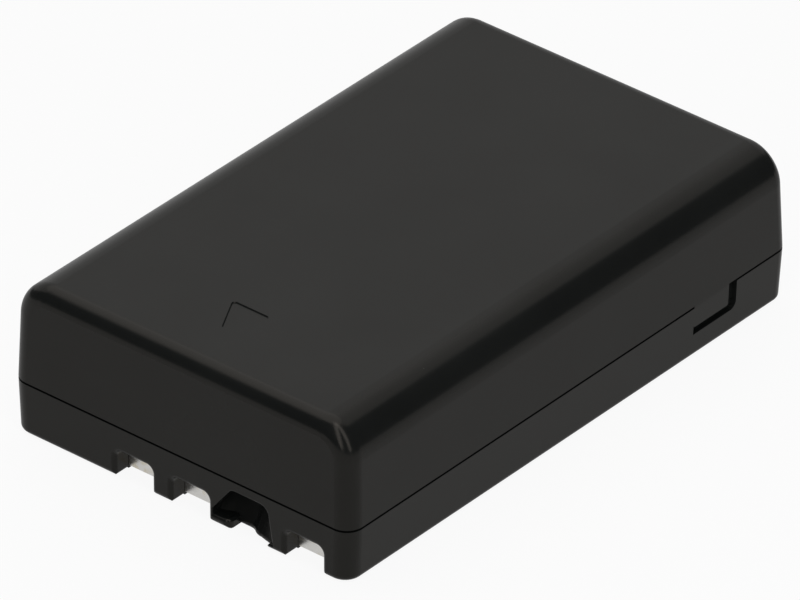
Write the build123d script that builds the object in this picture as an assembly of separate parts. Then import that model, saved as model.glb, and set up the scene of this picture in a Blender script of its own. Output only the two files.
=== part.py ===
from build123d import *
import math
import os

# Camera battery: a two-cell pack in a two-piece moulded case.
# X runs across the pack, the contact end faces -Y and +Z is up.
# The origin lies under the middle of the base. All sizes are in millimetres, angles in degrees.

# Outer form of the case
pack_length = 56.0
pack_width = 36.0
pack_height = 14.45
seam_height = 4.86
seam_gap = 0.2
upper_draft = 1.9
lower_draft = 2.5
long_edge_round = 3.4
front_round = 1.6
rear_round = 1.3
base_edge_round = 0.55

# Walls of the case
side_wall = 1.2
top_wall = 1.0
floor_wall = 1.0
inner_corner_round = 0.4
lip_height = 1.2
lip_thickness = 0.5
fit_gap = 0.05

# Locating tab of the upper case and the notch that takes it, on the +X side
tab_inset = 10.1
tab_width = 4.5
tab_drop = 1.9
tab_thickness = 0.45
tab_corner_round = 0.2
notch_rear_gap = 1.05
notch_floor_gap = 0.72
notch_corner_round = 0.7

# Engraved triangle on the upper case, pointing at the contact end
mark_inset = 5.3
mark_length = 3.92
mark_width = 4.16
mark_depth = 0.11
mark_corner_round = 0.3
mark_lean = 40.0

# Contact slots: four places at one pitch, the third one taken by the key
last_contact_inset = 4.85
contact_pitch = 6.0
slot_width = 3.95
slot_height = 2.55
slot_depth = 1.7
slot_corner_round = 0.65
slot_mouth_round = 0.4
slot_right_foot_round = 0.9
slot_left_foot_round = 0.3
contact_thickness = 0.35
contact_lift = 0.3
contact_height = 4.1

# Key between the second and the last contact: an arched pocket, open to the base
key_side_wall = 0.4
key_post_width = 1.2
key_post_lean = 0.65
key_shoulder_run = 2.0
key_shoulder_height = 1.4
key_top_strip = 0.86
key_crown_round = 0.9
key_mouth_round = 0.15
key_depth = 2.4
key_back_wall = 0.6

# What stands in the key's pocket: a tongue, a ramp behind it and a foot on the post
tongue_width = 2.15
tongue_height = 0.85
tongue_corner_round = 0.7
tongue_edge_round = 0.3
ramp_height = 2.6
ramp_top_deep_inset = 2.5
ramp_top_shallow_inset = 2.3
ramp_top_end_inset = 0.8
ramp_start_inset = 0.35
ramp_deep_inset = 1.15
ramp_shallow_inset = 0.5
ramp_end_inset = 0.12
ramp_curve_start = 1.1
ramp_curve_length = 1.6
ramp_edge_round = 0.35
foot_width = 0.6
foot_height = 0.6
foot_edge_round = 0.3

# Contact holder and circuit board
holder_bar = 0.8
holder_clearance = 0.1
board_thickness = 0.8
board_side_gap = 0.3
board_margin = 0.5
board_rib_width = 1.2
board_rib_thickness = 0.8
terminal_room = 4.0

# Parts on the back of the board: inset from an end or gap to the next part, length, height and rise
transistor_inset = 14.1
transistor_length = 4.4
transistor_height = 3.1
transistor_rise = 1.0
chip_gap = 2.1
chip_length = 3.0
chip_rise = 1.1
thermistor_inset = 3.1
thermistor_length = 1.0
thermistor_height = 2.0
thermistor_rise = 0.9
resistor_gap = 0.9
resistor_count = 3
resistor_length = 0.6
resistor_height = 1.1
resistor_rise = 0.45
capacitor_gap = 1.3
capacitor_count = 2
capacitor_length = 0.8
capacitor_height = 1.6
capacitor_rise = 0.8
small_part_pitch = 1.6

# Cells and what holds them
cell_side_gap = 0.3
cell_rear_gap = 0.3
cell_side_round = 2.5
cell_rear_round = 0.8
base_tape_thickness = 0.2
cell_tape_thickness = 0.3
foam_thickness = 0.7
tape_margin = 4.0
terminal_length = 5.0
terminal_width = 2.6
terminal_rise = 0.6
terminal_inset = 6.5
card_thickness = 0.25
card_margin = 0.5
card_window_gap = 0.3

# Nickel straps and the thermal cutoff
strap_width = 2.4
strap_thickness = 0.2
cutoff_length = 5.0
cutoff_width = 3.0
cutoff_thickness = 1.2
cutoff_inset = 5.3
cutoff_lead = 2.2

# Places and sizes that follow
front_y = -pack_length / 2
rear_y = pack_length / 2
side_x = pack_width / 2
inner_x = side_x - side_wall
inner_front_y = front_y + side_wall
inner_rear_y = rear_y - side_wall
upper_start = seam_height + seam_gap
ceiling_z = pack_height - top_wall
lip_top = seam_height + lip_height
overrun = 2.0
tolerance = 0.01

last_contact_x = side_x - last_contact_inset
key_x = last_contact_x - contact_pitch
middle_contact_x = key_x - contact_pitch
first_contact_x = middle_contact_x - contact_pitch
contact_places = (first_contact_x, middle_contact_x, last_contact_x)

terminal_wall_y = front_y + slot_depth
contact_back_y = terminal_wall_y + contact_thickness
key_back_y = front_y + key_depth
key_boss_y = key_back_y + key_back_wall
holder_front_y = key_boss_y + holder_clearance
board_front_y = holder_front_y + holder_bar
board_back_y = board_front_y + board_thickness
cell_front_y = board_back_y + terminal_room
cell_rear_y = inner_rear_y - cell_rear_gap
strap_back_y = cell_front_y - terminal_rise
strap_front_y = strap_back_y - strap_thickness
card_front_y = cell_front_y - card_thickness

stack_height = ceiling_z - floor_wall
cell_thickness = (stack_height - base_tape_thickness - cell_tape_thickness - foam_thickness) / 2
cell_half = inner_x - cell_side_gap
board_half = inner_x - board_side_gap
terminal_x = cell_half - terminal_inset
cutoff_near_x = cell_half - cutoff_inset - cutoff_length
cutoff_far_x = cell_half - cutoff_inset
transistor_x = transistor_inset - board_half
chip_x = transistor_x + (transistor_length + chip_length) / 2 + chip_gap
capacitor_x = chip_x + (chip_length + capacitor_length) / 2 + capacitor_gap
last_resistor_x = transistor_x - (transistor_length + resistor_length) / 2 - resistor_gap
resistor_x = last_resistor_x - (resistor_count - 1) * small_part_pitch
thermistor_x = board_half - thermistor_inset
lower_cell_z = floor_wall + base_tape_thickness
cell_tape_z = lower_cell_z + cell_thickness
upper_cell_z = cell_tape_z + cell_tape_thickness
foam_z = upper_cell_z + cell_thickness
lower_strap_z = lower_cell_z + cell_thickness / 2
upper_strap_z = upper_cell_z + cell_thickness / 2
board_top_z = upper_strap_z + strap_width / 2 + board_margin

key_start_x = middle_contact_x + slot_width / 2
key_left_x = key_start_x + key_side_wall
key_end_x = last_contact_x - slot_width / 2
key_right_x = key_end_x - key_post_width
key_top_z = seam_height - key_top_strip
tongue_x = key_start_x + tongue_width


def box(x0, x1, y0, y1, z0, z1):
    """Block between two opposite corners."""
    middle = Pos((x0 + x1) / 2, (y0 + y1) / 2, (z0 + z1) / 2)
    return middle * Box(x1 - x0, y1 - y0, z1 - z0)


def lean(height, draft):
    """How far a drafted wall leans in over a height."""
    return height * math.tan(math.radians(draft))


def trapezoid(lower_half, upper_half, z0, z1):
    """Upright section with its own half width at each level."""
    return Polygon((-lower_half, z0), (lower_half, z0), (upper_half, z1), (-upper_half, z1))


def upper_block(width, length, z0, z1, draft, edge_round, end_rounds):
    """Block that leans in upwards, with round long edges and rounds all about its two ends."""
    inset = lean(z1 - z0, draft)
    across = trapezoid(width / 2, width / 2 - inset, z0, z1)
    across = fillet(across.vertices().group_by(Axis.Y)[-1], edge_round)
    along = trapezoid(length / 2, length / 2 - inset, z0, z1)
    block = extrude(Plane.XZ * across, length, both=True) & extrude(Plane.YZ * along, width, both=True)
    for end, radius in zip((0, -1), end_rounds):
        face = block.faces().sort_by(Axis.Y)[end]
        rim = [edge for edge in face.edges() if edge.center().Z > z0 + tolerance]
        block = fillet(rim, radius)
    return block


def lower_block():
    """Outside of the lower case: upright contact end, other sides leaning in downwards, all edges round."""
    inset = lean(seam_height, lower_draft)
    across = trapezoid(side_x - inset, side_x, 0, seam_height)
    along = Polygon((front_y, 0), (rear_y - inset, 0), (rear_y, seam_height), (front_y, seam_height))
    block = extrude(Plane.XZ * across, pack_length, both=True)
    block &= extrude(Plane.YZ * along, pack_width, both=True)
    for end, radius in ((0, front_round), (-1, rear_round)):
        face = block.faces().sort_by(Axis.Y)[end]
        sides = face.edges().filter_by_position(Axis.Z, tolerance, seam_height - tolerance)
        block = fillet(sides, radius)
    return fillet(block.faces().sort_by(Axis.Z)[0].edges(), base_edge_round)


def inner_prism(growth, start_y, z0, z1):
    """Block with the plan of the inner walls, grown outwards, from a front wall's place to the rear."""
    width = 2 * (inner_x + growth)
    front = start_y - growth
    rear = inner_rear_y + growth
    plan = RectangleRounded(width, rear - front, inner_corner_round + growth)
    return extrude(Pos(0, (front + rear) / 2, z0) * plan, z1 - z0)


def tab_y_range():
    """Front and rear of the locating tab."""
    middle = rear_y - tab_inset
    return middle - tab_width / 2, middle + tab_width / 2


def locating_tab():
    """Tongue of the upper case that carries the side wall down past the seam, flush with the lower case."""
    tab_rear = tab_y_range()[1]
    foot_z = seam_height - tab_drop
    outline = Polygon(
        (side_x - tab_thickness, foot_z),
        (side_x - lean(tab_drop, lower_draft), foot_z),
        (side_x, seam_height),
        (side_x, upper_start),
        (side_x - tab_thickness, upper_start),
    )
    tab = Pos(0, tab_rear, 0) * extrude(Plane.XZ * outline, tab_width)
    foot = tab.edges().filter_by(Axis.X).group_by(Axis.Z)[0]
    return fillet(foot, tab_corner_round)


def triangle_mark():
    """Cutter for the triangle engraved in the top, with round corners and leaning walls."""
    tip_y = front_y + mark_inset
    base_y = tip_y + mark_length
    outline = Polygon((0, tip_y), (mark_width / 2, base_y), (-mark_width / 2, base_y))
    outline = fillet(outline.vertices(), mark_corner_round)
    return extrude(Pos(0, 0, pack_height) * outline, -mark_depth, taper=mark_lean)


def make_upper_case():
    """Deep moulded lid with a rebate for the lip, the locating tab and the triangle mark."""
    case = upper_block(
        pack_width, pack_length, upper_start, pack_height, upper_draft, long_edge_round,
        (front_round, rear_round),
    )
    cavity_length = inner_rear_y - inner_front_y
    cavity_round = max(long_edge_round - top_wall, inner_corner_round)
    case -= upper_block(
        2 * inner_x, cavity_length, upper_start, ceiling_z, 0, cavity_round,
        (inner_corner_round, inner_corner_round),
    )
    case -= inner_prism(lip_thickness + fit_gap, inner_front_y, upper_start - overrun, lip_top)
    case += locating_tab()
    return case - triangle_mark()


def mouth_cutter(section, x0, x1, back_y, mouth_round):
    """Cutter that opens on the contact end and the base, with a round mouth on the contact end."""
    wall = box(x0, x1, front_y, back_y, -overrun, seam_height)
    hole = Pos(0, back_y, 0) * extrude(Plane.XZ * section, back_y - front_y + overrun)
    surround = wall - hole
    mouth = surround.faces().sort_by(Axis.Y)[0].edges()
    mouth = mouth.filter_by_position(Axis.X, x0 + tolerance, x1 - tolerance)
    mouth = mouth.filter_by_position(Axis.Z, tolerance - overrun, seam_height - tolerance)
    return wall - fillet(mouth, mouth_round) + hole


def slot_cutter(place):
    """Cutter for a contact slot with round upper corners."""
    section = Pos(place, (slot_height - overrun) / 2) * Rectangle(slot_width, slot_height + overrun)
    section = fillet(section.vertices().group_by(Axis.Y)[-1], slot_corner_round)
    reach = slot_width / 2 + 2 * slot_mouth_round
    return mouth_cutter(section, place - reach, place + reach, terminal_wall_y, slot_mouth_round)


def foot_corner(radius):
    """Section of the cut that rounds the foot of a wall at x = 0 with its body towards +X."""
    corner = Pos(radius / 2, 0) * Rectangle(radius, 2 * radius)
    return corner - Pos(radius, radius) * Circle(radius)


def slot_flare(place):
    """Cutter that rounds the feet of a slot's two side walls."""
    half = slot_width / 2
    corners = Pos(place + half, 0) * foot_corner(slot_right_foot_round)
    corners += Pos(place - half, 0) * mirror(foot_corner(slot_left_foot_round), Plane.YZ)
    return Pos(0, terminal_wall_y, 0) * extrude(Plane.XZ * corners, slot_depth + overrun)


def slot_block(place, gap, y0, y1, z0, z1):
    """Block as wide as a contact slot, less a gap on each side."""
    half = slot_width / 2 - gap
    return box(place - half, place + half, y0, y1, z0, z1)


def contact_slots():
    """Cutters for the slots, open to the front and the base, and for the contacts' feet behind them."""
    cutters = []
    for place in contact_places:
        cutters.append(slot_cutter(place))
        cutters.append(slot_flare(place))
        cutters.append(slot_block(place, 0, terminal_wall_y, contact_back_y, -overrun, floor_wall))
    return cutters


def key_outline():
    """Outline of the key's pocket on the contact end: a slanted shoulder, a level crown, open below."""
    post_slope = key_post_lean / key_top_z
    outline = Polygon(
        (key_left_x, -overrun),
        (key_right_x + post_slope * overrun, -overrun),
        (key_right_x - key_post_lean, key_top_z),
        (key_left_x + key_shoulder_run, key_top_z),
        (key_left_x, key_shoulder_height),
    )
    return fillet(outline.vertices().group_by(Axis.Y)[-1], key_crown_round)


def top_rim(block, x0, x1):
    """Edges of a block's top face between two places across, all but the rear one."""
    edges = block.faces().sort_by(Axis.Z)[-1].edges().filter_by_position(Axis.X, x0, x1)
    return edges.sort_by(Axis.Y)[:-1]


def key_tongue():
    """Tongue under the pocket's shoulder, flush with the contact end, its top edge rolled over."""
    tongue = box(key_start_x, tongue_x, front_y, key_boss_y, 0, tongue_height)
    corner = tongue.edges().filter_by(Axis.Z).group_by(Axis.Y)[0].sort_by(Axis.X)[-1]
    tongue = fillet(corner, tongue_corner_round)
    return fillet(top_rim(tongue, key_start_x + tolerance, tongue_x + tolerance), tongue_edge_round)


def easing(x0, y0, x1, y1):
    """Curve between two places that leaves and arrives straight across."""
    middle_x = (x0 + x1) / 2
    return Bezier((x0, y0), (middle_x, y0), (middle_x, y1), (x1, y1))


def ramp_plan(z, start_inset, deep_inset, shallow_inset, end_inset):
    """Plan of the ramp at a height: deepest beside the tongue, less deep behind it and at the post."""
    curve_x = tongue_x + ramp_curve_start
    curve_end_x = curve_x + ramp_curve_length
    end_x = key_right_x + key_side_wall
    start_y = front_y + start_inset
    deep_y = front_y + deep_inset
    shallow_y = front_y + shallow_inset
    outline = easing(key_start_x, start_y, tongue_x, deep_y)
    outline += Line((tongue_x, deep_y), (curve_x, deep_y))
    outline += easing(curve_x, deep_y, curve_end_x, shallow_y)
    outline += Polyline(
        (curve_end_x, shallow_y), (end_x, front_y + end_inset), (end_x, key_boss_y),
        (key_start_x, key_boss_y), (key_start_x, start_y),
    )
    return Pos(0, 0, z) * make_face(outline)


def key_ramp():
    """Ramp that fills the back of the pocket: it leans back as it rises, and its lower edge is round."""
    base = ramp_plan(0, ramp_start_inset, ramp_deep_inset, ramp_shallow_inset, ramp_end_inset)
    crown = ramp_plan(
        ramp_height, ramp_top_deep_inset, ramp_top_deep_inset, ramp_top_shallow_inset, ramp_top_end_inset,
    )
    ramp = loft([base, crown], ruled=True)
    edges = ramp.faces().sort_by(Axis.Z)[0].edges()
    rim = [edge for edge in edges if edge.center().Y < front_y + ramp_deep_inset + tolerance]
    return fillet(rim, ramp_edge_round)


def key_foot():
    """Foot that widens the post at the base, its upper edges rolled over."""
    start_x = key_right_x - foot_width
    end_x = key_right_x + key_side_wall
    foot = box(start_x, end_x, front_y, key_boss_y, 0, foot_height)
    return fillet(top_rim(foot, start_x - tolerance, end_x - tolerance), foot_edge_round)


def side_notch():
    """Cutter for the notch that takes the locating tab."""
    tab_front, tab_rear = tab_y_range()
    floor_z = seam_height - tab_drop - notch_floor_gap
    opening = Polygon(
        (tab_front, floor_z),
        (tab_rear + notch_rear_gap, floor_z),
        (tab_rear + notch_rear_gap, seam_height + overrun),
        (tab_front, seam_height + overrun),
    )
    rear_corner = opening.vertices().group_by(Axis.Y)[0].sort_by(Axis.X)[-1]
    opening = fillet(rear_corner, notch_corner_round)
    inner_face = side_x - tab_thickness - fit_gap
    return Pos(inner_face, 0, 0) * extrude(Plane.YZ * opening, tab_thickness + overrun)


def board_ribs():
    """Two ribs on the side walls that the board's back leans on."""
    ribs = []
    for side in (-1, 1):
        ends = sorted((side * inner_x, side * (inner_x - board_rib_width)))
        rib_y = board_back_y + fit_gap
        ribs.append(box(ends[0], ends[1], rib_y, rib_y + board_rib_thickness, floor_wall, seam_height))
    return ribs


def make_lower_case():
    """Shallow moulded tray with a lip, a thick terminal wall, contact slots, the key and the side notch."""
    outside = lower_block()
    case = outside - inner_prism(0, terminal_wall_y, floor_wall, seam_height + overrun)
    lip = inner_prism(lip_thickness, inner_front_y, seam_height, lip_top)
    case += lip - inner_prism(0, inner_front_y, seam_height - overrun, lip_top + overrun)
    boss_end_x = key_right_x + key_side_wall
    case += box(key_start_x, boss_end_x, terminal_wall_y, key_boss_y, floor_wall, seam_height)
    for rib in board_ribs():
        case += rib
    mouth_start_x = key_left_x - 2 * key_mouth_round
    case -= mouth_cutter(key_outline(), mouth_start_x, key_end_x, key_back_y, key_mouth_round)
    for block in (key_tongue(), key_ramp(), key_foot()):
        case += block & outside
    for cutter in contact_slots():
        case -= cutter
    return case - side_notch()


def make_contact(place):
    """Bent strip: a wiping face that stands behind its slot and a flange that runs back to the board."""
    flange_top = contact_height + contact_thickness
    face = slot_block(place, fit_gap, terminal_wall_y, contact_back_y, contact_lift, contact_height)
    return face + slot_block(place, fit_gap, terminal_wall_y, board_front_y, contact_height, flange_top)


def make_contact_holder():
    """Moulded comb behind the contacts: a bar against the board and a block behind each contact."""
    half = slot_width / 2 - fit_gap
    start_x = first_contact_x - half
    end_x = last_contact_x + half
    holder = box(start_x, end_x, holder_front_y, board_front_y, floor_wall, contact_height)
    for place in contact_places:
        holder += slot_block(place, fit_gap, contact_back_y, holder_front_y, floor_wall, contact_height)
    return holder


def make_circuit_board():
    """Protection board that stands across the pack behind the contact holder."""
    return box(-board_half, board_half, board_front_y, board_back_y, floor_wall, board_top_z)


def board_part(x, length, height, rise):
    """Block soldered to the back of the board, halfway between the two cells' straps."""
    z = (lower_strap_z + upper_strap_z) / 2
    block = Box(length, rise, height)
    return Pos(x, board_back_y + rise / 2, z) * block


def make_cell(base_z, tab_side):
    """Sealed prismatic cell with its centre terminal and, to one side, its case terminal."""
    body = box(-cell_half, cell_half, cell_front_y, cell_rear_y, base_z, base_z + cell_thickness)
    body = fillet(body.edges().filter_by(Axis.Y), min(cell_side_round, 0.45 * cell_thickness))
    body = fillet(body.faces().sort_by(Axis.Y)[-1].edges(), cell_rear_round)
    for place in (0, tab_side * terminal_x):
        body += terminal_box(place, base_z + cell_thickness / 2, strap_back_y, cell_front_y, 0)
    return body


def terminal_box(x, z, y0, y1, growth):
    """Block of a cell terminal's outline, grown on all four sides."""
    half_length = terminal_length / 2 + growth
    half_width = terminal_width / 2 + growth
    return box(x - half_length, x + half_length, y0, y1, z - half_width, z + half_width)


def make_terminal_card():
    """Insulating card on the cells' front ends, with a window for each terminal."""
    half = cell_half - card_margin
    card = box(-half, half, card_front_y, cell_front_y, lower_cell_z + card_margin, foam_z - card_margin)
    windows = (
        (0, lower_strap_z), (terminal_x, lower_strap_z),
        (0, upper_strap_z), (-terminal_x, upper_strap_z),
    )
    for x, z in windows:
        card -= terminal_box(x, z, card_front_y - overrun, cell_front_y + overrun, card_window_gap)
    return card


def cell_pad(base_z, thickness):
    """Adhesive sheet over most of a cell's broad face."""
    half = cell_half - tape_margin
    start_y = cell_front_y + tape_margin
    end_y = cell_rear_y - tape_margin
    return box(-half, half, start_y, end_y, base_z, base_z + thickness)


def strap_strip(x0, x1, z, y0, y1):
    """Piece of strap of the usual width about a height."""
    return box(x0, x1, y0, y1, z - strap_width / 2, z + strap_width / 2)


def make_strap_positive():
    """Strap from the upper cell's case terminal to the board."""
    outer_x = -terminal_x - terminal_length / 2
    inner_end_x = -terminal_x + strap_width / 2
    leg_x = outer_x + strap_thickness
    strap = strap_strip(outer_x, inner_end_x, upper_strap_z, strap_front_y, strap_back_y)
    return strap + strap_strip(outer_x, leg_x, upper_strap_z, board_back_y, strap_back_y)


def make_strap_link():
    """Strap that joins the cells in series, with a leg to the board for the middle voltage."""
    outer_x = terminal_x + terminal_length / 2
    strap = strap_strip(-strap_width / 2, outer_x, upper_strap_z, strap_front_y, strap_back_y)
    strap += box(
        terminal_x - strap_width / 2, terminal_x + strap_width / 2, strap_front_y, strap_back_y,
        lower_strap_z - strap_width / 2, upper_strap_z,
    )
    leg_x = outer_x - strap_thickness
    return strap + strap_strip(leg_x, outer_x, upper_strap_z, board_back_y, strap_back_y)


def make_strap_negative():
    """Strap from the lower cell's centre terminal to the thermal cutoff."""
    return strap_strip(-cutoff_near_x, strap_width / 2, lower_strap_z, strap_front_y, strap_back_y)


def make_thermal_cutoff():
    """Flat thermal cutoff that lies on the card beside the lower cell's centre terminal."""
    return box(
        -cutoff_far_x, -cutoff_near_x, card_front_y - cutoff_thickness, card_front_y,
        lower_strap_z - cutoff_width / 2, lower_strap_z + cutoff_width / 2,
    )


def make_strap_cutoff():
    """Strap from the thermal cutoff to the board."""
    far_x = -cutoff_far_x - cutoff_lead
    strap = strap_strip(far_x, -cutoff_far_x, lower_strap_z, strap_front_y, strap_back_y)
    return strap + strap_strip(far_x, far_x + strap_thickness, lower_strap_z, board_back_y, strap_back_y)


def board_row(start_x, count, length, height, rise):
    """Row of like small parts on the back of the board."""
    places = [start_x + i * small_part_pitch for i in range(count)]
    return Compound([board_part(place, length, height, rise) for place in places])


nodes = {
    "upper_case": make_upper_case(),
    "lower_case": make_lower_case(),
    "contact_positive": make_contact(first_contact_x),
    "contact_signal": make_contact(middle_contact_x),
    "contact_negative": make_contact(last_contact_x),
    "contact_holder": make_contact_holder(),
    "circuit_board": make_circuit_board(),
    "upper_cell": make_cell(upper_cell_z, -1),
    "lower_cell": make_cell(lower_cell_z, 1),
    "terminal_card": make_terminal_card(),
    "base_tape": cell_pad(floor_wall, base_tape_thickness),
    "cell_tape": cell_pad(cell_tape_z, cell_tape_thickness),
    "top_foam": cell_pad(foam_z, foam_thickness),
    "strap_positive": make_strap_positive(),
    "strap_link": make_strap_link(),
    "strap_negative": make_strap_negative(),
    "strap_cutoff": make_strap_cutoff(),
    "thermal_cutoff": make_thermal_cutoff(),
    "protection_chip": board_part(chip_x, chip_length, chip_length, chip_rise),
    "switch_transistors": board_part(transistor_x, transistor_length, transistor_height, transistor_rise),
    "thermistor": board_part(thermistor_x, thermistor_length, thermistor_height, thermistor_rise),
    "board_resistors": board_row(
        resistor_x, resistor_count, resistor_length, resistor_height, resistor_rise
    ),
    "board_capacitors": board_row(
        capacitor_x, capacitor_count, capacitor_length, capacitor_height, capacitor_rise
    ),
}

os.makedirs("parts", exist_ok=True)
for name, solid in nodes.items():
    export_step(solid, f"parts/{name}.step")
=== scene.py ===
import math

import bpy
from bpy.props import FloatProperty, FloatVectorProperty, PointerProperty
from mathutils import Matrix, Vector


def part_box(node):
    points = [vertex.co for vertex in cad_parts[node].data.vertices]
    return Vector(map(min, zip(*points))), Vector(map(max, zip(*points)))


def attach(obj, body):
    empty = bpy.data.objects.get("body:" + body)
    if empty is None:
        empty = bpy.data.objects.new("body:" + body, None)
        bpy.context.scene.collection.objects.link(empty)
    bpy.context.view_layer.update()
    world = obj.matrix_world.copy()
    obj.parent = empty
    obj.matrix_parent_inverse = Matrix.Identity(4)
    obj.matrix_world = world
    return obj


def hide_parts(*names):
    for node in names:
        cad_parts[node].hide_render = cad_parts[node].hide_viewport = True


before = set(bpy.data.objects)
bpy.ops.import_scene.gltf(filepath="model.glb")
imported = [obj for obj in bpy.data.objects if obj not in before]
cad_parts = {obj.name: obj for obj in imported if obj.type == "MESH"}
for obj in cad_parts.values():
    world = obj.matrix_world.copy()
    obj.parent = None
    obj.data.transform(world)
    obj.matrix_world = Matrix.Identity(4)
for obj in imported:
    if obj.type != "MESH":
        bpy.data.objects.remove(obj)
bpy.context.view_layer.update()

bl_info = {
    "name": "Camera battery",
    "version": (1, 0, 0),
    "blender": (4, 5, 0),
    "location": "3D View > Sidebar > Battery",
    "description": "Finishes a two-cell camera battery and sets it on a studio floor",
    "category": "Object",
}

MM = 0.001
BODY = "root"

# The row of contacts has four places at one pitch, and the key takes the third.
CONTACT_NODES = ("contact_positive", "contact_signal", "contact_negative")
CONTACT_PLACES = 4
KEY_PLACE = 2
BEND_STEPS = 6
EDGE_STEPS = 4
SHARP_ANGLE = math.radians(50)

# Most of a noise lies between these two levels.
NOISE_LOW = 0.3
NOISE_HIGH = 0.7
TRACK_HALF_WIDTH = 0.09
CAP_START = 0.3
GRAIN_ROUGHNESS_SPREAD = 0.06

PICTURE_WIDTH = 800
PIXELS_PER_MM = 12.2557
SENSOR_WIDTH = 36.0
CLIP_NEAR = 0.01
CLIP_FAR = 10.0
FLOOR_STEPS = 96
FLOOR_LEVEL = -0.02 * MM
FLOOR_ROUGHNESS = 0.9

# Places of the colour sockets on a mix node and of the whole-number sockets on a compare node.
MIX_COLOURS = (6, 7)
MIX_RESULT = 2
COMPARE_NUMBERS = (2, 3)


def colour_property(name, description, default):
    """Colour that a user may change."""
    return FloatVectorProperty(
        name=name, description=description, subtype="COLOR", size=3, min=0.0, max=1.0, default=default
    )


def length_property(name, description, default):
    """Length in metres that a user may change."""
    return FloatProperty(
        name=name, description=description, unit="LENGTH", min=0.0, precision=6, default=default
    )


def share_property(name, description, default):
    """Number from 0 to 1 that a user may change."""
    return FloatProperty(
        name=name, description=description, subtype="FACTOR", min=0.0, max=1.0, default=default
    )


def angle_property(name, description, default):
    """Angle, given in degrees, that a user may change."""
    return FloatProperty(
        name=name, description=description, subtype="ANGLE", default=math.radians(default)
    )


class CaseSettings(bpy.types.PropertyGroup):
    """Finish of the two moulded case halves."""

    colour: colour_property("Case colour", "Colour of the moulded plastic", (0.0102, 0.0114, 0.0112))
    roughness: share_property("Case roughness", "Roughness of the satin surface", 0.22)
    gloss: share_property("Case gloss", "Strength of the plastic's reflections", 0.26)
    gloss_tint: colour_property("Gloss tint", "Tint of the plastic's reflections", (1.0, 0.91, 0.81))
    grain_size: length_property("Grain size", "Width of one bump of the moulded grain", 0.16 * MM)
    grain_depth: length_property("Grain depth", "Height of the moulded grain", 0.0016 * MM)
    patch_size: length_property("Patch size", "Width of the soft patches in the finish", 9.0 * MM)
    dust_colour: colour_property("Dust colour", "Colour of the few specks of dust", (0.06, 0.06, 0.058))
    dust_spacing: length_property("Dust spacing", "Distance between places for a speck", 4.0 * MM)
    clean_share: share_property("Clean share", "Share of those places that have no speck", 0.7)
    speck_size: share_property("Speck size", "Largest speck's radius as a share of the spacing", 0.016)


class ContactSettings(bpy.types.PropertyGroup):
    """Sizes and finish of the contact strips."""

    colour: colour_property("Plating colour", "Colour of the plated strips", (1.0, 0.985, 0.95))
    worn_colour: colour_property(
        "Worn colour", "Colour of the plating where it is rubbed", (0.88, 0.8, 0.62)
    )
    thickness: length_property("Strip thickness", "Thickness of a contact strip", 0.35 * MM)
    edge_round: length_property("Edge round", "Radius along the edges of a strip", 0.03 * MM)
    spread: length_property("Spread", "How much wider a strip is than its plain solid", 0.08 * MM)
    bend_round: length_property("Bend round", "Radius of the bend at a strip's middle", 0.2 * MM)


class InsideSettings(bpy.types.PropertyGroup):
    """Colours of the pieces inside the case."""

    holder_colour: colour_property("Holder colour", "Colour of the contact holder", (0.55, 0.5, 0.4))
    board_colour: colour_property("Board colour", "Colour of the board's lacquer", (0.02, 0.16, 0.07))
    can_colour: colour_property("Can colour", "Colour of the bare cell cans", (0.62, 0.63, 0.64))
    nickel_colour: colour_property("Nickel colour", "Colour of the straps", (0.66, 0.64, 0.6))
    card_colour: colour_property("Card colour", "Colour of the insulating card", (0.1, 0.28, 0.2))
    tape_colour: colour_property("Tape colour", "Colour of the adhesive sheets", (0.8, 0.74, 0.52))
    foam_colour: colour_property("Foam colour", "Colour of the foam pad", (0.06, 0.06, 0.06))
    resin_colour: colour_property("Resin colour", "Colour of the chips' resin", (0.02, 0.02, 0.022))
    body_colour: colour_property("Body colour", "Colour of the small fired parts", (0.45, 0.33, 0.22))
    cutoff_colour: colour_property("Cutoff colour", "Colour of the thermal cutoff", (0.12, 0.1, 0.09))


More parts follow.
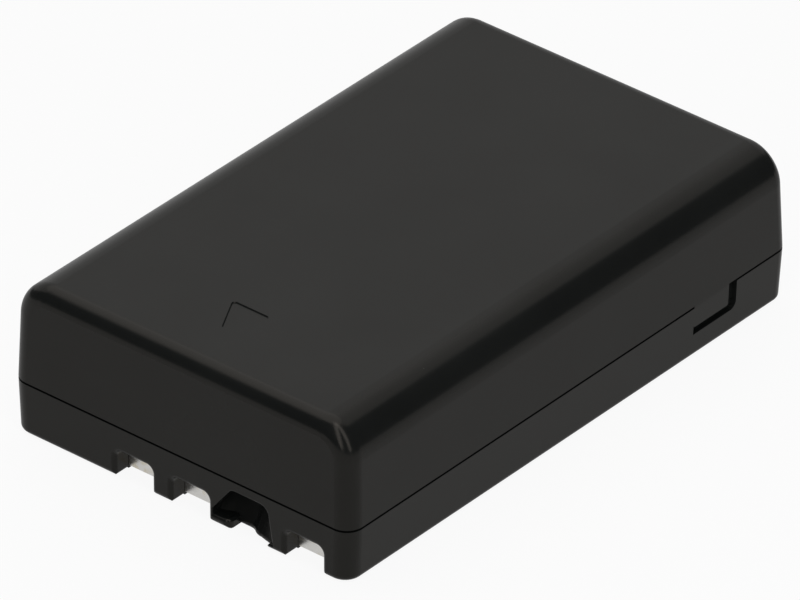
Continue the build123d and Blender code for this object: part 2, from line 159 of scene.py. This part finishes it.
class StageSettings(bpy.types.PropertyGroup):
    """Camera, light and floor."""

    azimuth: angle_property("Azimuth", "Camera's turn from the contact end towards +X", 40.06)
    elevation: angle_property("Elevation", "Camera's height above the horizon", 33.012)
    distance: length_property("Distance", "Distance from the camera to the pack", 1.0498)
    picture_scale: FloatProperty(
        name="Picture scale", description="Width of the picture at the pack", unit="LENGTH",
        default=PICTURE_WIDTH / PIXELS_PER_MM * MM, precision=5,
    )
    aim_right: FloatProperty(
        name="Aim right", description="Aim's shift to the right in the picture", unit="LENGTH",
        default=-0.216 * MM, precision=6,
    )
    aim_up: FloatProperty(
        name="Aim up", description="Aim's shift upwards in the picture", unit="LENGTH",
        default=-0.870 * MM, precision=6,
    )
    aim_height: length_property("Aim height", "Height of the aim's start above the floor", 7.0 * MM)
    floor_colour: colour_property("Floor colour", "Colour of the floor", (0.9, 0.9, 0.9))
    floor_patch: length_property("Floor patch", "Width of the faint patches on the floor", 0.4)
    floor_glow: share_property("Floor glow", "Share of plain white in the floor's look", 0.92)
    floor_mirror: share_property("Floor mirror", "Brightness of the floor in reflections", 0.55)
    floor_radius: length_property("Floor radius", "Radius of the flat floor", 0.3)
    window_strength: FloatProperty(
        name="Window strength", description="Light from the wide window behind", default=1.05
    )
    window_azimuth: angle_property(
        "Window azimuth", "Window's turn from the contact end towards +X", -131.5
    )
    window_elevation: angle_property("Window elevation", "Window's height above the horizon", 46.0)
    window_width: angle_property("Window width", "Angle that the window fills", 100.0)
    overhead_strength: FloatProperty(
        name="Overhead strength", description="Light from the soft lamp above", default=0.42
    )
    overhead_azimuth: angle_property(
        "Overhead azimuth", "Lamp's turn from the contact end towards +X", -116.6
    )
    overhead_elevation: angle_property("Overhead elevation", "Lamp's height above the horizon", 70.0)
    overhead_width: angle_property("Overhead width", "Angle that the lamp fills", 58.0)
    strip_power: FloatProperty(
        name="Strip power", description="Power of one strip light", unit="POWER", default=0.6
    )
    strip_length: length_property("Strip length", "Height of a strip light", 0.8)
    strip_width: length_property("Strip width", "Width of a strip light", 0.12)
    strip_elevation: angle_property("Strip elevation", "Height of a strip light above the horizon", 45.0)
    left_strip: angle_property("Left strip", "Left strip light's turn from the camera", -12.0)
    right_strip: angle_property("Right strip", "Right strip light's turn from the camera", 28.0)
    light_distance: length_property("Light distance", "Distance from a light to the pack", 0.5)
    surround: share_property("Surround", "Grey level of the dim room around", 0.07)


class NodeMaker:
    """Node tree in the making."""

    def feed(self, target, source):
        """Links an output to an input, or sets the input to a plain value."""
        if isinstance(source, bpy.types.NodeSocket):
            self.tree.links.new(source, target)
        else:
            target.default_value = source

    def node(self, kind, inputs=None, **settings):
        """New node with settings, and with its inputs linked or set."""
        made = self.tree.nodes.new(kind)
        for setting, value in settings.items():
            setattr(made, setting, value)
        for name, value in (inputs or {}).items():
            self.feed(made.inputs[name], value)
        return made


class Finish(NodeMaker):
    """Material in the making: its node tree, its shader and the place on the piece."""

    def __init__(self, name):
        self.material = bpy.data.materials.new(name)
        self.material.use_nodes = True
        self.tree = self.material.node_tree
        self.shader = self.tree.nodes["Principled BSDF"]
        self.place = self.node("ShaderNodeTexCoord").outputs["Object"]

    def set(self, name, value):
        """Sets or links one socket of the shader."""
        self.feed(self.shader.inputs[name], value)

    def noise(self, size, detail=2.0, stretch=None):
        """Cloudy pattern with patches of about one size, drawn out along an axis where asked."""
        place = self.place
        if stretch:
            place = self.node("ShaderNodeMapping", {"Vector": place, "Scale": stretch}).outputs["Vector"]
        texture = self.node("ShaderNodeTexNoise", {"Vector": place, "Scale": 1.0 / size, "Detail": detail})
        return texture.outputs["Fac"]

    def cells(self, size, feature="F1"):
        """Texture of scattered cells of about one size."""
        return self.node(
            "ShaderNodeTexVoronoi", {"Vector": self.place, "Scale": 1.0 / size}, feature=feature
        )

    def span(self, value, low, high, out_low=0.0, out_high=1.0):
        """Value moved from one range to another, and held at its ends."""
        moved = self.node("ShaderNodeMapRange", {
            "Value": value, "From Min": low, "From Max": high, "To Min": out_low, "To Max": out_high,
        })
        return moved.outputs["Result"]

    def spread(self, noise, out_low=0.0, out_high=1.0):
        """Noise moved from its usual levels to a range."""
        return self.span(noise, NOISE_LOW, NOISE_HIGH, out_low, out_high)

    def math(self, operation, first, second):
        """Result of one sum on two values."""
        return self.node("ShaderNodeMath", {0: first, 1: second}, operation=operation).outputs["Value"]

    def blend(self, share, first, second):
        """Colour between two colours."""
        mix = self.node("ShaderNodeMix", {"Factor": share}, data_type="RGBA")
        for socket, colour in zip(MIX_COLOURS, (first, second)):
            linked = isinstance(colour, bpy.types.NodeSocket)
            self.feed(mix.inputs[socket], colour if linked else (*colour, 1.0))
        return mix.outputs[MIX_RESULT]

    def tones(self, pattern, colour, dark, light):
        """Colour that a pattern shifts between a dark and a light factor."""
        return self.blend(pattern, shade(colour, dark), shade(colour, light))

    def bump(self, height, depth):
        """Fine relief on the shader's normal."""
        relief = self.node("ShaderNodeBump", {"Strength": 1.0, "Distance": depth, "Height": height})
        self.set("Normal", relief.outputs["Normal"])


def shade(colour, factor):
    """Colour made darker or lighter by a factor."""
    return tuple(min(1.0, channel * factor) for channel in colour)


def case_plastic(settings):
    """Satin black moulded plastic: fine grain, soft patches and a few specks of dust."""
    finish = Finish("satin_black_plastic")
    grain = finish.noise(settings.grain_size)
    patches = finish.noise(settings.patch_size, detail=3.0)
    colour = finish.tones(finish.spread(patches), settings.colour, dark=0.9, light=1.1)
    dust = finish.cells(settings.dust_spacing)
    radius = finish.span(dust.outputs["Color"], settings.clean_share, 1.0, 0.0, settings.speck_size)
    speck = finish.math("LESS_THAN", dust.outputs["Distance"], radius)
    finish.set("Base Color", finish.blend(speck, colour, settings.dust_colour))
    smoothest, roughest = settings.roughness - 0.02, settings.roughness + 0.03
    finish.set("Roughness", finish.spread(patches, smoothest, roughest))
    finish.set("Specular IOR Level", settings.gloss)
    finish.set("Specular Tint", (*settings.gloss_tint, 1.0))
    finish.bump(grain, settings.grain_depth)
    return finish.material


def contact_plating(settings):
    """Pale plating with fine rolling lines, rubbed warmer in patches."""
    finish = Finish("pale_plating")
    lines = finish.noise(size=0.12 * MM, stretch=(0.15, 1.0, 1.0))
    rubbed = finish.span(finish.noise(size=0.9 * MM, detail=3.0), low=0.5, high=0.72)
    finish.set("Base Color", finish.blend(rubbed, settings.colour, settings.worn_colour))
    finish.set("Metallic", 1.0)
    finish.set("Roughness", finish.spread(lines, 0.26, 0.4))
    finish.bump(lines, depth=0.001 * MM)
    return finish.material


def holder_plastic(settings):
    """Natural moulded plastic with a faint flow pattern."""
    finish = Finish("natural_plastic")
    flow = finish.spread(finish.noise(size=2.0 * MM, detail=3.0, stretch=(0.4, 1.0, 1.0)))
    finish.set("Base Color", finish.tones(flow, settings.holder_colour, dark=0.9, light=1.06))
    finish.set("Roughness", finish.span(flow, 0.0, 1.0, 0.42, 0.52))
    finish.bump(finish.noise(size=0.2 * MM), depth=0.002 * MM)
    return finish.material


def board_laminate(settings):
    """Green lacquer with paler lines where the copper runs under it."""
    finish = Finish("green_lacquer")
    tracks = finish.cells(size=1.7 * MM, feature="DISTANCE_TO_EDGE")
    track = finish.math("LESS_THAN", tracks.outputs["Distance"], TRACK_HALF_WIDTH)
    finish.set("Base Color", finish.tones(track, settings.board_colour, dark=1.0, light=1.7))
    weave = finish.noise(size=0.3 * MM)
    finish.set("Roughness", finish.spread(weave, 0.22, 0.32))
    finish.bump(track, depth=0.012 * MM)
    return finish.material


def drawn_metal(name, colour, along, smoothest, roughest):
    """Bare metal with fine lines along the way it was drawn or rolled."""
    finish = Finish(name)
    lines = finish.noise(size=0.15 * MM, detail=3.0, stretch=along)
    finish.set("Base Color", finish.tones(finish.spread(lines), colour, dark=0.9, light=1.05))
    finish.set("Metallic", 1.0)
    finish.set("Roughness", finish.spread(lines, smoothest, roughest))
    finish.bump(lines, depth=0.001 * MM)
    return finish.material


def insulating_card(settings):
    """Calendered sheet with short fibres."""
    finish = Finish("fibre_card")
    fibres = finish.noise(size=0.5 * MM, detail=4.0, stretch=(0.3, 1.0, 1.0))
    fibres = finish.span(fibres, low=0.35, high=0.65)
    finish.set("Base Color", finish.tones(fibres, settings.card_colour, dark=0.82, light=1.12))
    finish.set("Roughness", finish.span(fibres, 0.0, 1.0, 0.6, 0.75))
    finish.bump(fibres, depth=0.006 * MM)
    return finish.material


def adhesive_tape(settings):
    """Matt film with a faint mottle of trapped air."""
    finish = Finish("matt_tape")
    mottle = finish.span(finish.noise(size=1.4 * MM, detail=4.0), low=0.4, high=0.6)
    finish.set("Base Color", finish.tones(mottle, settings.tape_colour, dark=0.93, light=1.03))
    finish.set("Roughness", finish.span(mottle, 0.0, 1.0, 0.5, 0.62))
    finish.bump(mottle, depth=0.004 * MM)
    return finish.material


def foam_pad(settings):
    """Closed-cell foam with fine open pores on its cut faces, the pores painted darker as shade and the
    walls between them lighter.
    """
    finish = Finish("cellular_foam")
    pores = finish.cells(size=0.35 * MM).outputs["Distance"]
    pore_relief_and_shade = finish.span(pores, low=0.1, high=0.6)
    # Painted shade: the pore hollows are darkened and the walls between them lightened; the same pattern
    # also gives the real relief.
    finish.set("Base Color", finish.tones(pore_relief_and_shade, settings.foam_colour, dark=0.6, light=1.3))
    finish.set("Roughness", finish.span(pores, 0.0, 0.6, 0.8, 0.95))
    finish.bump(pore_relief_and_shade, depth=0.05 * MM)
    return finish.material


def grained_shell(name, colour, grain_size, roughness):
    """Moulded or lacquered shell with a matt grain."""
    finish = Finish(name)
    grain = finish.noise(grain_size)
    finish.set("Base Color", finish.tones(finish.spread(grain), colour, dark=0.85, light=1.15))
    smoothest, roughest = roughness - GRAIN_ROUGHNESS_SPREAD, roughness + GRAIN_ROUGHNESS_SPREAD
    finish.set("Roughness", finish.spread(grain, smoothest, roughest))
    finish.bump(grain, depth=0.003 * MM)
    return finish.material


def fired_body(settings):
    """Small fired parts with a plated cap at each end."""
    finish = Finish("fired_body")
    low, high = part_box("board_resistors")
    middle_z = (low.z + high.z) / 2
    cap_start = CAP_START * (high.z - low.z)
    split = finish.node("ShaderNodeSeparateXYZ", {"Vector": finish.place})
    offset = finish.math("ABSOLUTE", finish.math("SUBTRACT", split.outputs["Z"], middle_z), 0.0)
    cap = finish.math("GREATER_THAN", offset, cap_start)
    grain = finish.spread(finish.noise(size=0.1 * MM))
    body = finish.tones(grain, settings.body_colour, dark=0.88, light=1.1)
    finish.set("Base Color", finish.blend(cap, body, settings.nickel_colour))
    finish.set("Metallic", cap)
    finish.set("Roughness", finish.span(grain, 0.0, 1.0, 0.28, 0.42))
    finish.bump(grain, depth=0.002 * MM)
    return finish.material


def dress(material, *node_names):
    """Gives CAD nodes a finish."""
    for name in node_names:
        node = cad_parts[name]
        node.data.materials.clear()
        node.data.materials.append(material)


class TreeBuilder(NodeMaker):
    """Geometry node tree in the making, with the values that its inputs get."""

    def __init__(self, name):
        self.tree = bpy.data.node_groups.new(name, "GeometryNodeTree")
        self.tree.interface.new_socket("Geometry", in_out="OUTPUT", socket_type="NodeSocketGeometry")
        self.values = {}
        self.source = self.node("NodeGroupInput")
        self.target = self.node("NodeGroupOutput")

    def input(self, name, kind, value):
        """Named input of the tree, and the socket that it feeds inside."""
        socket = self.tree.interface.new_socket(name, in_out="INPUT", socket_type=kind)
        self.values[socket.identifier] = value
        return self.source.outputs[name]

    def finish(self, name, geometry, material):
        """Realizes the geometry with its material and returns it as a plain mesh object."""
        realized = self.node("GeometryNodeRealizeInstances", {"Geometry": geometry})
        painted = self.node(
            "GeometryNodeSetMaterial", {"Geometry": realized.outputs["Geometry"], "Material": material}
        )
        self.feed(self.target.inputs["Geometry"], painted.outputs["Geometry"])
        carrier = bpy.data.objects.new(name, bpy.data.meshes.new(name))
        bpy.context.scene.collection.objects.link(carrier)
        modifier = carrier.modifiers.new(name, "NODES")
        modifier.node_group = self.tree
        for identifier, value in self.values.items():
            modifier[identifier] = value
        evaluated = carrier.evaluated_get(bpy.context.evaluated_depsgraph_get())
        mesh = bpy.data.meshes.new_from_object(evaluated)
        carrier.modifiers.remove(modifier)
        empty_mesh = carrier.data
        carrier.data = mesh
        bpy.data.meshes.remove(empty_mesh)
        mesh.name = name
        if not mesh.polygons:
            raise RuntimeError(f"{name} came out empty")
        return carrier


def contact_strip(builder, corners, width, settings):
    """One bent strip: a round-edged section swept along three corners."""
    place = builder.node("GeometryNodeInputIndex")
    corner = builder.node("GeometryNodeIndexSwitch", data_type="VECTOR")
    # The switch starts with two items.
    corner.index_switch_items.new()
    builder.feed(corner.inputs["Index"], place.outputs["Index"])
    for number, point in enumerate(corners):
        builder.feed(corner.inputs[str(number)], point)
    line = builder.node("GeometryNodeMeshLine", {"Count": len(corners)})
    bent = builder.node(
        "GeometryNodeSetPosition", {"Geometry": line.outputs["Mesh"], "Position": corner.outputs["Output"]}
    )
    path = builder.node("GeometryNodeMeshToCurve", {"Mesh": bent.outputs["Geometry"]})
    bend_round = builder.input("Bend round", "NodeSocketFloat", settings.bend_round)
    path = builder.node(
        "GeometryNodeFilletCurve",
        {"Curve": path.outputs["Curve"], "Radius": bend_round, "Count": BEND_STEPS}, mode="POLY",
    )
    thickness = builder.input("Strip thickness", "NodeSocketFloat", settings.thickness)
    section = builder.node(
        "GeometryNodeCurvePrimitiveQuadrilateral", {"Width": width, "Height": thickness}
    )
    edge_round = builder.input("Edge round", "NodeSocketFloat", settings.edge_round)
    section = builder.node(
        "GeometryNodeFilletCurve",
        {"Curve": section.outputs["Curve"], "Radius": edge_round, "Count": EDGE_STEPS}, mode="POLY",
    )
    strip = builder.node(
        "GeometryNodeCurveToMesh",
        {"Curve": path.outputs["Curve"], "Profile Curve": section.outputs["Curve"], "Fill Caps": True},
    )
    return strip.outputs["Mesh"]


def contact_strips(settings, material):
    """Three contact strips at one pitch, with the key's place left out."""
    low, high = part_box("contact_positive")
    next_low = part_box("contact_signal")[0]
    half = settings.thickness / 2
    builder = TreeBuilder("contact_strips")
    foot = builder.input("Foot", "NodeSocketVector", (0.0, low.y + half, low.z))
    bend = builder.input("Bend", "NodeSocketVector", (0.0, low.y + half, high.z - half))
    tail = builder.input("Tail", "NodeSocketVector", (0.0, high.y, high.z - half))
    width = builder.input("Strip width", "NodeSocketFloat", high.x - low.x + settings.spread)
    start = builder.input("First place", "NodeSocketVector", ((low.x + high.x) / 2, 0.0, 0.0))
    pitch = builder.input("Pitch", "NodeSocketVector", (next_low.x - low.x, 0.0, 0.0))
    strip = contact_strip(builder, (foot, bend, tail), width, settings)
    row = builder.node(
        "GeometryNodeMeshLine", {"Count": CONTACT_PLACES, "Start Location": start, "Offset": pitch}
    )
    index = builder.node("GeometryNodeInputIndex")
    is_key = builder.node("FunctionNodeCompare", data_type="INT", operation="EQUAL")
    for socket, number in zip(COMPARE_NUMBERS, (index.outputs["Index"], KEY_PLACE)):
        builder.feed(is_key.inputs[socket], number)
    places = builder.node(
        "GeometryNodeDeleteGeometry",
        {"Geometry": row.outputs["Mesh"], "Selection": is_key.outputs["Result"]},
    )
    strips = builder.node(
        "GeometryNodeInstanceOnPoints", {"Points": places.outputs["Geometry"], "Instance": strip}
    )
    return builder.finish("contacts", strips.outputs["Instances"], material)


def camera_axes(azimuth, elevation):
    """Directions right, up and back of a camera that looks at the pack."""
    right = Vector((math.cos(azimuth), math.sin(azimuth), 0.0))
    back = Vector((
        math.sin(azimuth) * math.cos(elevation),
        -math.cos(azimuth) * math.cos(elevation),
        math.sin(elevation),
    ))
    return right, back.cross(right), back


def make_camera(settings):
    """Long-lens camera at the picture's viewing angle."""
    right, up, back = camera_axes(settings.azimuth, settings.elevation)
    aim = Vector((0.0, 0.0, settings.aim_height)) + right * settings.aim_right + up * settings.aim_up
    data = bpy.data.cameras.new("picture_camera")
    data.sensor_width = SENSOR_WIDTH
    data.lens = SENSOR_WIDTH * settings.distance / settings.picture_scale
    data.clip_start = settings.distance * CLIP_NEAR
    data.clip_end = settings.distance * CLIP_FAR
    camera = bpy.data.objects.new("picture_camera", data)
    camera.location = aim + back * settings.distance
    camera.rotation_mode = "QUATERNION"
    camera.rotation_quaternion = (-back).to_track_quat("-Z", "Y")
    bpy.context.scene.collection.objects.link(camera)
    bpy.context.scene.camera = camera


def add_light(name, kind, azimuth, elevation, distance):
    """Light that shines at the pack from one direction."""
    towards = camera_axes(azimuth, elevation)[2]
    data = bpy.data.lights.new(name, kind)
    lamp = bpy.data.objects.new(name, data)
    lamp.location = towards * distance
    lamp.rotation_mode = "QUATERNION"
    lamp.rotation_quaternion = towards.to_track_quat("Z", "Y")
    bpy.context.scene.collection.objects.link(lamp)
    return data


def make_window(settings):
    """Wide distant window behind the pack."""
    window = add_light(
        "window", "SUN", settings.window_azimuth, settings.window_elevation, settings.light_distance
    )
    window.energy = settings.window_strength
    window.angle = settings.window_width


def make_overhead(settings):
    """Soft lamp above the pack."""
    lamp = add_light(
        "overhead", "SUN", settings.overhead_azimuth, settings.overhead_elevation, settings.light_distance
    )
    lamp.energy = settings.overhead_strength
    lamp.angle = settings.overhead_width


def make_strips(settings):
    """Two upright strip lights on the camera's side."""
    for name, turn in (("left_strip", settings.left_strip), ("right_strip", settings.right_strip)):
        azimuth = settings.azimuth + turn
        strip = add_light(name, "AREA", azimuth, settings.strip_elevation, settings.light_distance)
        strip.shape = "RECTANGLE"
        strip.size = settings.strip_width
        strip.size_y = settings.strip_length
        strip.energy = settings.strip_power


def floor_material(settings):
    """Pale floor that looks nearly white and keeps the pack's shadow."""
    finish = Finish("studio_floor")
    patches = finish.spread(finish.noise(settings.floor_patch))
    finish.set("Base Color", finish.tones(patches, settings.floor_colour, dark=0.99, light=1.0))
    finish.set("Roughness", FLOOR_ROUGHNESS)
    finish.set("Specular IOR Level", 0.0)
    path = finish.node("ShaderNodeLightPath")
    strength = finish.span(path.outputs["Is Glossy Ray"], 0.0, 1.0, 1.0, settings.floor_mirror)
    glow = finish.node("ShaderNodeEmission", {"Strength": strength})
    seen = finish.math("MAXIMUM", path.outputs["Is Camera Ray"], path.outputs["Is Glossy Ray"])
    seen = finish.math("MAXIMUM", seen, path.outputs["Is Transmission Ray"])
    share = finish.math("MULTIPLY", seen, settings.floor_glow)
    mix = finish.node("ShaderNodeMixShader", {
        0: share, 1: finish.shader.outputs["BSDF"], 2: glow.outputs["Emission"],
    })
    finish.feed(finish.tree.nodes["Material Output"].inputs["Surface"], mix.outputs["Shader"])
    return finish.material


def make_floor(settings):
    """Round flat floor, a hair below the pack."""
    turns = [2 * math.pi * step / FLOOR_STEPS for step in range(FLOOR_STEPS)]
    rim = [
        (settings.floor_radius * math.cos(turn), settings.floor_radius * math.sin(turn), FLOOR_LEVEL)
        for turn in turns
    ]
    data = bpy.data.meshes.new("studio_floor")
    data.from_pydata(rim, [], [range(FLOOR_STEPS)])
    data.materials.append(floor_material(settings))
    floor = bpy.data.objects.new("studio_floor", data)
    bpy.context.scene.collection.objects.link(floor)


def make_world(settings):
    """Dim even room that the camera sees as plain white."""
    world = bpy.data.worlds.new("studio_room")
    world.use_nodes = True
    nodes = world.node_tree.nodes
    links = world.node_tree.links
    path = nodes.new("ShaderNodeLightPath")
    level = nodes.new("ShaderNodeMapRange")
    level.inputs["To Min"].default_value = settings.surround
    links.new(path.outputs["Is Camera Ray"], level.inputs["Value"])
    background = nodes["Background"]
    background.inputs["Color"].default_value = (1.0, 1.0, 1.0, 1.0)
    links.new(level.outputs["Result"], background.inputs["Strength"])
    bpy.context.scene.world = world


class BATTERY_OT_case(bpy.types.Operator):
    """Gives both case halves their moulded plastic"""

    bl_idname = "battery.case"
    bl_label = "Case"

    def execute(self, context):
        dress(case_plastic(context.scene.battery_case), "upper_case", "lower_case")
        return {"FINISHED"}


class BATTERY_OT_contacts(bpy.types.Operator):
    """Makes the three plated contact strips"""

    bl_idname = "battery.contacts"
    bl_label = "Contacts"

    def execute(self, context):
        settings = context.scene.battery_contacts
        contacts = contact_strips(settings, contact_plating(settings))
        contacts.data.shade_smooth()
        contacts.data.set_sharp_from_angle(angle=SHARP_ANGLE)
        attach(contacts, BODY)
        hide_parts(*CONTACT_NODES)
        return {"FINISHED"}


class BATTERY_OT_board(bpy.types.Operator):
    """Finishes the contact holder, the circuit board and the parts on it"""

    bl_idname = "battery.board"
    bl_label = "Board"

    def execute(self, context):
        settings = context.scene.battery_inside
        dress(holder_plastic(settings), "contact_holder")
        dress(board_laminate(settings), "circuit_board")
        resin = grained_shell("black_resin", settings.resin_colour, grain_size=0.12 * MM, roughness=0.55)
        dress(resin, "protection_chip", "switch_transistors")
        dress(fired_body(settings), "thermistor", "board_resistors", "board_capacitors")
        return {"FINISHED"}


class BATTERY_OT_cells(bpy.types.Operator):
    """Finishes the two cells, their card and the sheets that hold them"""

    bl_idname = "battery.cells"
    bl_label = "Cells"

    def execute(self, context):
        settings = context.scene.battery_inside
        can = drawn_metal(
            "drawn_can", settings.can_colour, along=(1.0, 0.05, 1.0), smoothest=0.3, roughest=0.42
        )
        dress(can, "upper_cell", "lower_cell")
        dress(insulating_card(settings), "terminal_card")
        dress(adhesive_tape(settings), "base_tape", "cell_tape")
        dress(foam_pad(settings), "top_foam")
        return {"FINISHED"}


class BATTERY_OT_straps(bpy.types.Operator):
    """Finishes the nickel straps and the thermal cutoff"""

    bl_idname = "battery.straps"
    bl_label = "Straps"

    def execute(self, context):
        settings = context.scene.battery_inside
        nickel = drawn_metal(
            "rolled_nickel", settings.nickel_colour, along=(0.05, 1.0, 1.0), smoothest=0.28, roughest=0.4
        )
        dress(nickel, "strap_positive", "strap_link", "strap_negative", "strap_cutoff")
        shell = grained_shell("cutoff_lacquer", settings.cutoff_colour, grain_size=0.2 * MM, roughness=0.4)
        dress(shell, "thermal_cutoff")
        return {"FINISHED"}


class BATTERY_OT_stage(bpy.types.Operator):
    """Sets up the camera, the light and the floor"""

    bl_idname = "battery.stage"
    bl_label = "Stage"

    def execute(self, context):
        settings = context.scene.battery_stage
        context.scene.view_settings.view_transform = "Standard"
        make_camera(settings)
        make_floor(settings)
        make_world(settings)
        make_window(settings)
        make_overhead(settings)
        make_strips(settings)
        return {"FINISHED"}


class BATTERY_PT_panel(bpy.types.Panel):
    """Lists the steps that finish the battery"""

    bl_idname = "BATTERY_PT_panel"
    bl_label = "Camera battery"
    bl_space_type = "VIEW_3D"
    bl_region_type = "UI"
    bl_category = "Battery"

    def draw(self, context):
        for operator in OPERATORS:
            self.layout.operator(operator.bl_idname)


SETTINGS = {
    "battery_case": CaseSettings,
    "battery_contacts": ContactSettings,
    "battery_inside": InsideSettings,
    "battery_stage": StageSettings,
}
OPERATORS = (
    BATTERY_OT_case,
    BATTERY_OT_contacts,
    BATTERY_OT_board,
    BATTERY_OT_cells,
    BATTERY_OT_straps,
    BATTERY_OT_stage,
)


def register():
    """Registers the settings, the operators and the panel."""
    for name, settings in SETTINGS.items():
        bpy.utils.register_class(settings)
        setattr(bpy.types.Scene, name, PointerProperty(type=settings))
    for operator in OPERATORS:
        bpy.utils.register_class(operator)
    bpy.utils.register_class(BATTERY_PT_panel)


def unregister():
    """Takes back what register did."""
    bpy.utils.unregister_class(BATTERY_PT_panel)
    for operator in reversed(OPERATORS):
        bpy.utils.unregister_class(operator)
    for name, settings in SETTINGS.items():
        delattr(bpy.types.Scene, name)
        bpy.utils.unregister_class(settings)


def main():
    """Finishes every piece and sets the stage."""
    register()
    bpy.ops.battery.case()
    bpy.ops.battery.contacts()
    bpy.ops.battery.board()
    bpy.ops.battery.cells()
    bpy.ops.battery.straps()
    bpy.ops.battery.stage()


if __name__ == "__main__":
    main()
